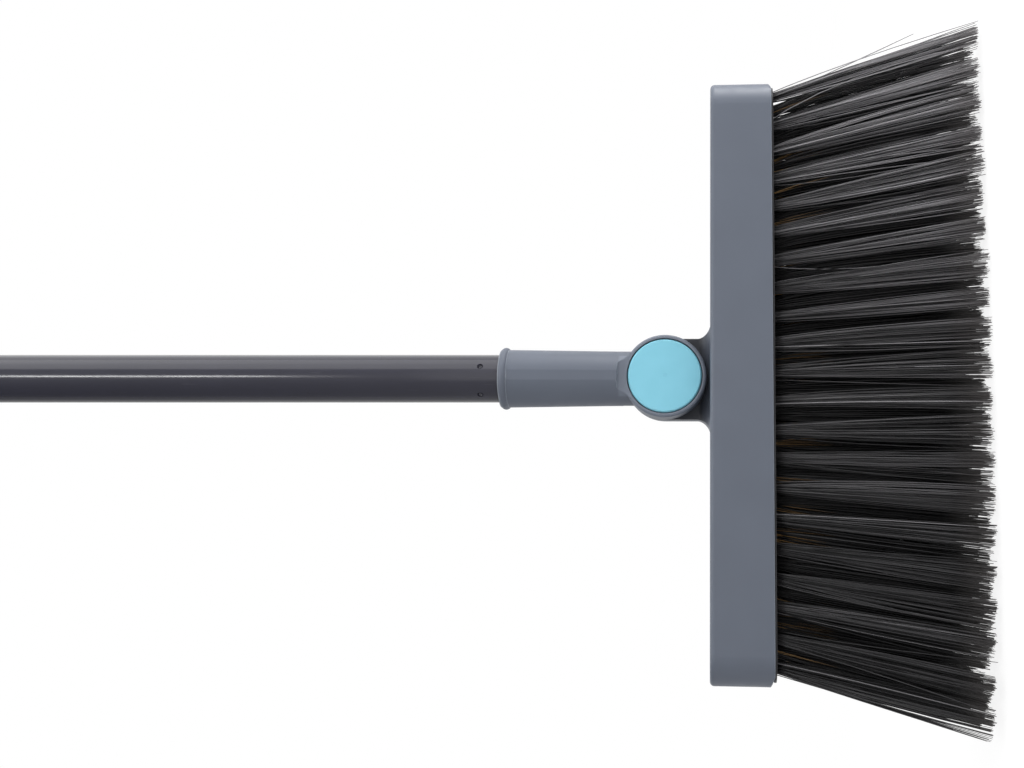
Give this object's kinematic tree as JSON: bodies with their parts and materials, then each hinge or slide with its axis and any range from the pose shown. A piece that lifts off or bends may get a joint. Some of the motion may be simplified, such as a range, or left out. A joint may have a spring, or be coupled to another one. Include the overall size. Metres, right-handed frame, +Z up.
{
  "type": "lobby broom",
  "caption": "Lobby broom: a coated tube handle screws into a socket whose round push-button pivot frees and clamps a flat grey block with fanned dark bristle tufts.",
  "frame": {"origin": "centre of the bounding box's base: on the floor, under the middle of the block", "axes": "+Z up along the handle, +X along the block, -Y the front with the push button"},
  "size_m": [0.3158, 0.0514, 0.945],
  "materials": {
    "slate_coat": "semi-gloss dark slate coating",
    "grey_plastic": "satin blue-grey moulded plastic",
    "sky_plastic": "satin sky-blue moulded plastic",
    "black_plastic": "black moulded plastic",
    "bristle": "dark synthetic filament",
    "steel": "zinc-plated steel",
    "brass": "turned brass",
    "friction_fibre": "pressed friction fibre"
  },
  "bodies": {
    "handle": {"handle_tube": "slate_coat", "hang_cap": "grey_plastic", "thread_insert": "black_plastic", "handle_socket": "grey_plastic", "friction_ring": "friction_fibre", "button_spring": "steel"},
    "button": {"lock_button": "sky_plastic", "hub_insert": "brass", "pivot_bolt": "steel", "clamp_washer": "steel"},
    "head": {"head_cover": "grey_plastic", "tuft_plate": "black_plastic", "plate_screws": "steel", "tuft_anchors": "steel", "bristle_row_1": "bristle", "bristle_row_2": "bristle", "bristle_row_3": "bristle", "bristle_row_4": "bristle", "bristle_row_5": "bristle"}
  },
  "joints": [
    {"name": "head_pivot", "type": "hinge", "parent": "handle", "child": "head", "pos_m": [0, 0, 0.147], "axis": [0, 1, 0], "range_deg": [-90, 90]},
    {"name": "button_press", "type": "slide", "parent": "handle", "child": "button", "axis": [0, 1, 0], "range_m": [0, 0.0022], "stiffness_N_per_m": 4000, "deforming": ["button_spring"]}
  ]
}
